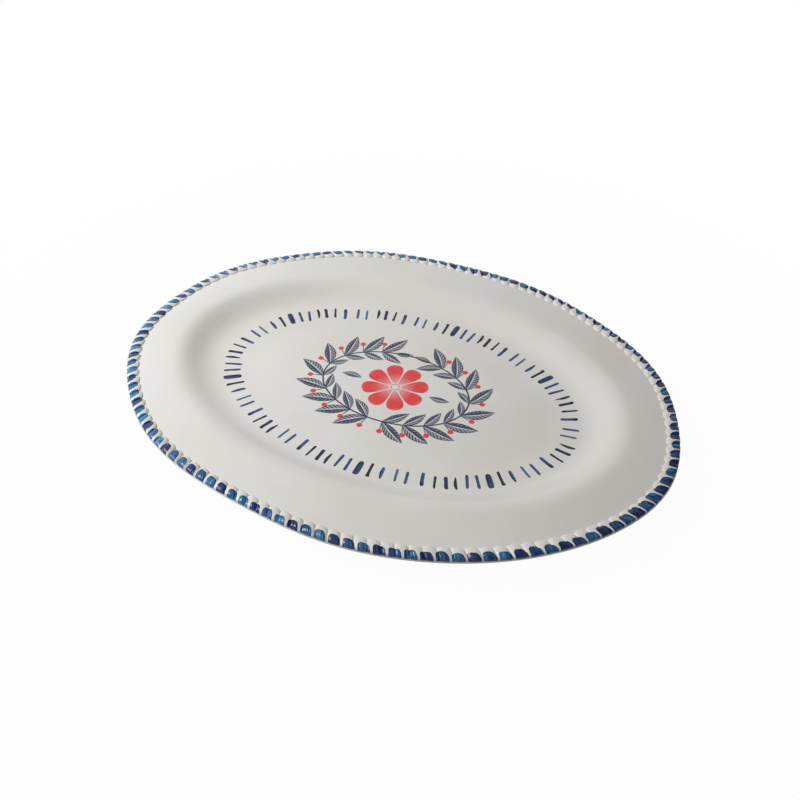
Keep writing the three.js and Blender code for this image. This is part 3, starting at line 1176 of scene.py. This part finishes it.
def draw_print(name, length, rows, ink):
    shape = stroke_shape(name, length * MM, [(s, o * MM, h * MM) for s, o, h in rows])
    ink_stroke(shape, [ink] * 4)
    return shape


def draw_disc(name, radius, ink):
    """A round spot with its middle at the origin."""
    circle = {"vertices": BERRY_AROUND, "radius": radius * MM, "fill_type": "TRIFAN"}
    disc = add_shape(name, bpy.ops.mesh.primitive_circle_add, **circle)
    ink_stroke(disc, [ink] * 4)
    return disc


leaf = draw_print("leaf", LEAF_LENGTH, LEAF_ROWS, INK)
petal = draw_print("petal", PETAL_LENGTH, PETAL_ROWS, CORAL)
stalk = draw_print("stalk", STALK_LENGTH, STALK_ROWS, INK)
berry = draw_disc("berry", BERRY_RADIUS, CORAL)
print("print shapes drawn")

# %% Lay out the wreath
WREATH_LONG = 56 * MM
WREATH_WIDE = 37 * MM
LEAF_PAIRS = 9                 # on each of the two branches
BRANCH_START = 0.04            # shares of the half oval
BRANCH_END = 0.83
BRANCH_TIP = 0.9
LEAF_SPREAD = math.radians(40)
STALK_SPREAD = math.radians(84)
BERRY_OUT = 9.6 * MM
INNER_LEAF = 0.84              # against an outer leaf, and less at the tight ends of the oval
INNER_CROWDING = 0.26
TIP_LEAF = 0.58


def spot(x, y, turn, size=1.0):
    """A place on the floor for a shape whose y points along the turn."""
    moved = Matrix.Translation(MIDDLE + Vector((x, y, 0)))
    return moved @ Matrix.Rotation(turn - math.pi / 2, 4, "Z") @ Matrix.Scale(size, 4)


half_bearings, half_lengths = walk_oval(WREATH_LONG, WREATH_WIDE, -math.pi / 2, math.pi)


def branch_place(share):
    """A place on the right branch and its heading, at a share of the way from its near end."""
    bearing = read_between(half_lengths[-1] * share, half_lengths, half_bearings)
    x, y = WREATH_LONG * math.cos(bearing), WREATH_WIDE * math.sin(bearing)
    return x, y, math.atan2(WREATH_WIDE * math.cos(bearing), -WREATH_LONG * math.sin(bearing))


def make_wreath():
    """Pairs of leaves with a berry between, on the right branch and its mirror on the left."""
    leaves, berries = [], []
    for k in range(LEAF_PAIRS):
        share = BRANCH_START + (BRANCH_END - BRANCH_START) * k / (LEAF_PAIRS - 1)
        x, y, heading = branch_place(share)
        for side in (1, -1):
            ahead = heading if side > 0 else math.pi - heading
            inner = INNER_LEAF - INNER_CROWDING * (x / WREATH_LONG) ** 2
            for spread, size in ((-LEAF_SPREAD, 1), (LEAF_SPREAD, inner)):
                leaves.append(copy_to(leaf, spot(side * x, y, ahead + side * spread, size)))
            out = ahead - side * STALK_SPREAD
            leaves.append(copy_to(stalk, spot(side * x, y, out)))
            tip = Vector((side * x + BERRY_OUT * math.cos(out), y + BERRY_OUT * math.sin(out)))
            berries.append(copy_to(berry, spot(tip.x, tip.y, 0)))
    x, y, heading = branch_place(BRANCH_TIP)
    for side in (1, -1):
        ahead = heading if side > 0 else math.pi - heading
        leaves.append(copy_to(leaf, spot(side * x, y, ahead, TIP_LEAF)))
    return leaves, berries


wreath_leaves, wreath_berries = make_wreath()
print("leaves and stalks:", len(wreath_leaves), "berries:", len(wreath_berries))

# %% Lay out the flower and its sprigs
PETALS = 8
PETAL_START = 4.2 * MM
SEEDS = 10
SEEDS_OUT = 3.1 * MM
SEED_SIZE = 0.3                # against a berry
SPRIG_OUT = 27 * MM
SPRIG_SIZE = 0.62              # against a leaf


def copies_round(shape, count, first, out, size=1.0):
    """Copies of a shape that point away from the middle. The first lies a part of a step round."""
    copies = []
    for k in range(count):
        turn = 2 * math.pi * (k + first) / count
        place = spot(out * math.cos(turn), out * math.sin(turn), turn, size)
        copies.append(copy_to(shape, place))
    return copies


def make_sprigs():
    """One leaf on each side of the flower, along the platter's length."""
    places = [spot(side * SPRIG_OUT, 0, math.pi * (side < 0), SPRIG_SIZE) for side in (1, -1)]
    return [copy_to(leaf, place) for place in places]


flower_petals = copies_round(petal, PETALS, 0.5, PETAL_START)
flower_seeds = copies_round(berry, SEEDS, 0, SEEDS_OUT, SEED_SIZE)
side_sprigs = make_sprigs()
print("petals:", len(flower_petals))

# %% Join and lay the printed pieces
STEM_HALF = 0.6 * MM
STEM_AROUND = 128


def make_hoop():
    """The stem of the wreath, a narrow oval band."""
    inner = (WREATH_LONG - STEM_HALF, WREATH_WIDE - STEM_HALF)
    hoop = start_oval("wreath_stem", STEM_AROUND, inner, FILM_DROP)
    bpy.ops.mesh.extrude_region_move()
    scale_flat(*[1 + 2 * STEM_HALF / half for half in inner])
    bpy.ops.mesh.select_all(action="SELECT")
    bpy.ops.mesh.normals_make_consistent(inside=False)
    bpy.ops.object.mode_set(mode="OBJECT")
    hoop.data.uv_layers.new(name="UVMap")
    ink_stroke(hoop, [INK] * 4)
    hoop.data.transform(Matrix.Translation(MIDDLE))
    return hoop


wreath = join_as("wreath", [*wreath_leaves, *side_sprigs])
hoop = make_hoop()
berries = join_as("wreath_berries", wreath_berries)
flower = join_as("flower", flower_petals)
seeds = join_as("flower_seeds", flower_seeds)
for film in (wreath, hoop, berries, flower, seeds):
    lay_on_body(film)
remove(leaf, petal, stalk, berry)
print("wreath, mm:", [round(side / MM, 1) for side in wreath.dimensions])

# %% Print a pattern
WASH_SHARE = 0.5               # how far a pale wash of ink goes towards the white glaze
MOTTLE_SHARE = 0.1
MOTTLES_PER_METRE = 300
INK_GRAINS_PER_METRE = 900
PRINT_ROUGHNESS = 0.14


def print_finish(name, pattern):
    """Ink on the glaze. A pattern says where it is a pale wash, and where it is cut to white."""
    material, wire = new_finish(name)
    place = wire.place()
    ink = wire.node("ShaderNodeAttribute", {"attribute_name": "ink"}, output="Color")
    uv = wire.node("ShaderNodeUVMap", {"uv_map": "UVMap"})
    white = glaze_colour(wire, place)
    ragged = wire.noise(place, INK_GRAINS_PER_METRE, 2) - 0.5
    wash, cut = pattern(wire, uv.part("X"), uv.part("Y"), ragged)
    mottled = (MOTTLE_SHARE * wire.noise(place, MOTTLES_PER_METRE, 2)).mix(ink, white)
    toned = (WASH_SHARE * wash).mix(mottled, white)
    printed = cut.mix(toned, white)
    surface(wire, printed, PRINT_ROUGHNESS, glaze_ripple(wire, place), PRINT_SHINE)
    return material


def plain_lines(wire, across, along, ragged):
    """Solid ink with a few pinholes."""
    grain = ragged + 0.5
    return grain.ramp_between(0.6, 0.9), grain.ramp_between(0.8, 0.86)


solid_print = print_finish("solid_print", plain_lines)
print("finish:", solid_print.name)

# %% Cut the leaves and petals
LEAF_HATCHES = 12
HATCH_SLANT = 1.6
PETAL_RAYS = 7
LINE_WAVER = 0.3               # how much the grain of the print bends a line


def from_half(wire, value):
    """0 where a value is a half, and 1 where it is 0 or 1."""
    return wire.math("ABSOLUTE", value - 0.5) * 2


def line_share(wire, count):
    """1 on each line of hatching, and 0 midway between two lines."""
    return from_half(wire, wire.math("FRACT", count))


def leaf_lines(wire, across, along, ragged):
    """Solid ink with nicks on one half, hatching over a wash on the other, and a white rib."""
    off_rib = from_half(wire, across)
    slanted = LEAF_HATCHES * along - HATCH_SLANT * off_rib
    line = line_share(wire, slanted + LINE_WAVER * ragged)
    inside = 1 - off_rib.ramp_between(0.82, 0.88)
    hatched = across.ramp_between(0.49, 0.51)
    wash = hatched * inside * (1 - line.ramp_between(0.4, 0.56))
    near_edge = inside * off_rib.ramp_between(0.5, 0.6)
    nicks = (1 - hatched) * near_edge * (1 - line.ramp_between(0.04, 0.16))
    rib = 1 - (off_rib + 0.12 * ragged).ramp_between(0.06, 0.12)
    return wash, wire.math("MAXIMUM", nicks, rib)


def petal_lines(wire, across, along, ragged):
    """Rays cut from the base of a petal, and a wash between lines at its tip."""
    line = line_share(wire, PETAL_RAYS * across + LINE_WAVER * ragged)
    inside = 1 - from_half(wire, across).ramp_between(0.86, 0.92)
    ray = 0.5 - 1.25 * along
    tip = 1.3 * along - 0.9
    cut = inside * (1 - line.ramp_between(ray - 0.12, ray + 0.12))
    wash = inside * (1 - line.ramp_between(tip - 0.12, tip + 0.12))
    return wash, cut


leaf_print = print_finish("leaf_print", leaf_lines)
petal_print = print_finish("petal_print", petal_lines)
for piece, material in (
    (wreath, leaf_print), (hoop, solid_print), (berries, solid_print),
    (flower, petal_print), (seeds, solid_print),
):
    finish_piece(piece, "centre_transfer", material, sharp_angle=40)

# %% [markdown]
# ## The studio
# The platter was lit from its left by one large soft light close by, so the rim is bright on
# the left and falls off to the right, with soft light from all round. The floor is a plain pale
# sheet. It looks white to the camera and in reflections, and keeps a faint shadow near the
# platter. The world is white to the camera too. Mirrored in the glaze it is white low down and
# towards the light, and dim overhead and away from it, like the ceiling of a room.

# %% Floor
FLOOR_SIZE = 8                 # metres
FLOOR_WHITE = 0.97             # the rest of what is seen of the floor takes the shadow
FADE_FROM = 0.22               # metres from the middle: between these two it turns all white
FADE_TO = 0.45
FLOOR_GREY = (0.6, 0.6, 0.6, 1)
WHITE = (1, 1, 1, 1)


def rays_of_sight(wire):
    """Which rays carry what the camera sees directly, and which what it sees mirrored."""
    sockets = wire.node("ShaderNodeLightPath").socket.node.outputs
    glossy = Wire(wire.tree, sockets["Is Glossy Ray"])
    mirrored = wire.math("MAXIMUM", glossy, Wire(wire.tree, sockets["Is Transmission Ray"]))
    return Wire(wire.tree, sockets["Is Camera Ray"]), mirrored


def floor_finish():
    material, wire = new_finish("pale_floor")
    lit = wire.node("ShaderNodeBsdfDiffuse", inputs={"Color": FLOOR_GREY})
    white = wire.node("ShaderNodeEmission", inputs={"Color": WHITE, "Strength": 1})
    direct, mirrored = rays_of_sight(wire)
    place = wire.place()
    away = wire.node("ShaderNodeVectorMath", {"operation": "LENGTH"}, {0: place}, "Value")
    whiteness = FLOOR_WHITE + (1 - FLOOR_WHITE) * away.ramp_between(FADE_FROM, FADE_TO)
    seen = wire.math("MAXIMUM", direct, mirrored) * whiteness
    mixed = wire.node("ShaderNodeMixShader", inputs={0: seen, 1: lit, 2: white})
    wire.node("ShaderNodeOutputMaterial", inputs={"Surface": mixed})
    return material


floor = add_shape("floor", bpy.ops.mesh.primitive_plane_add, size=FLOOR_SIZE)
floor.data.materials.append(floor_finish())
print("floor, m:", FLOOR_SIZE)

# %% World
KEY_BEARING = math.radians(196)
AMBIENT = 0.245
AMBIENT_TINT = (1, 0.95, 0.925, 1)
CEILING_LEAN = math.radians(60)            # the dim ceiling leans this far away from the light
WHITE_TO = 0.3                 # mirrored rays see white up to this share towards the ceiling
DIM_FROM = 0.6                 # and the dim ceiling from this share on


def make_world():
    world = bpy.data.worlds.new("studio")
    bpy.context.scene.world = world
    world.use_nodes = True
    world.node_tree.nodes.clear()
    wire = Wire(world.node_tree)
    towards = wire.node("ShaderNodeTexCoord", output="Generated")
    level = math.sin(CEILING_LEAN)
    away = (-math.cos(KEY_BEARING) * level, -math.sin(KEY_BEARING) * level)
    aim = {0: towards, 1: (*away, math.cos(CEILING_LEAN))}
    raised = wire.node("ShaderNodeVectorMath", {"operation": "DOT_PRODUCT"}, aim, "Value")
    direct, mirrored = rays_of_sight(wire)
    lit_wall = mirrored * (1 - raised.ramp_between(WHITE_TO, DIM_FROM))
    backdrop = wire.math("MAXIMUM", direct, lit_wall)
    ambient = wire.node("ShaderNodeBackground", inputs={"Color": AMBIENT_TINT, "Strength": AMBIENT})
    white = wire.node("ShaderNodeBackground", inputs={"Color": WHITE, "Strength": 1})
    mixed = wire.node("ShaderNodeMixShader", inputs={0: backdrop, 1: ambient, 2: white})
    wire.node("ShaderNodeOutputWorld", inputs={"Surface": mixed})
    return world


studio = make_world()
print("world:", studio.name)

# %% Light
KEY_HEIGHT_ANGLE = math.radians(45)
KEY_DISTANCE = 0.9             # metres, like its size
KEY_SIZE = 0.42
KEY_POWER = 5.9


def make_key_light():
    data = bpy.data.lights.new("key", "AREA")
    data.shape = "SQUARE"
    data.size = KEY_SIZE
    data.energy = KEY_POWER
    light = bpy.data.objects.new("key", data)
    bpy.context.scene.collection.objects.link(light)
    across = math.cos(KEY_HEIGHT_ANGLE)
    towards = Vector((
        math.cos(KEY_BEARING) * across,
        math.sin(KEY_BEARING) * across,
        math.sin(KEY_HEIGHT_ANGLE),
    ))
    light.location = towards * KEY_DISTANCE
    light.rotation_euler = towards.to_track_quat("Z", "Y").to_euler()
    return light


key_light = make_key_light()
bpy.context.scene.view_settings.view_transform = "Standard"
print("key light at, m:", [round(value, 2) for value in key_light.location])
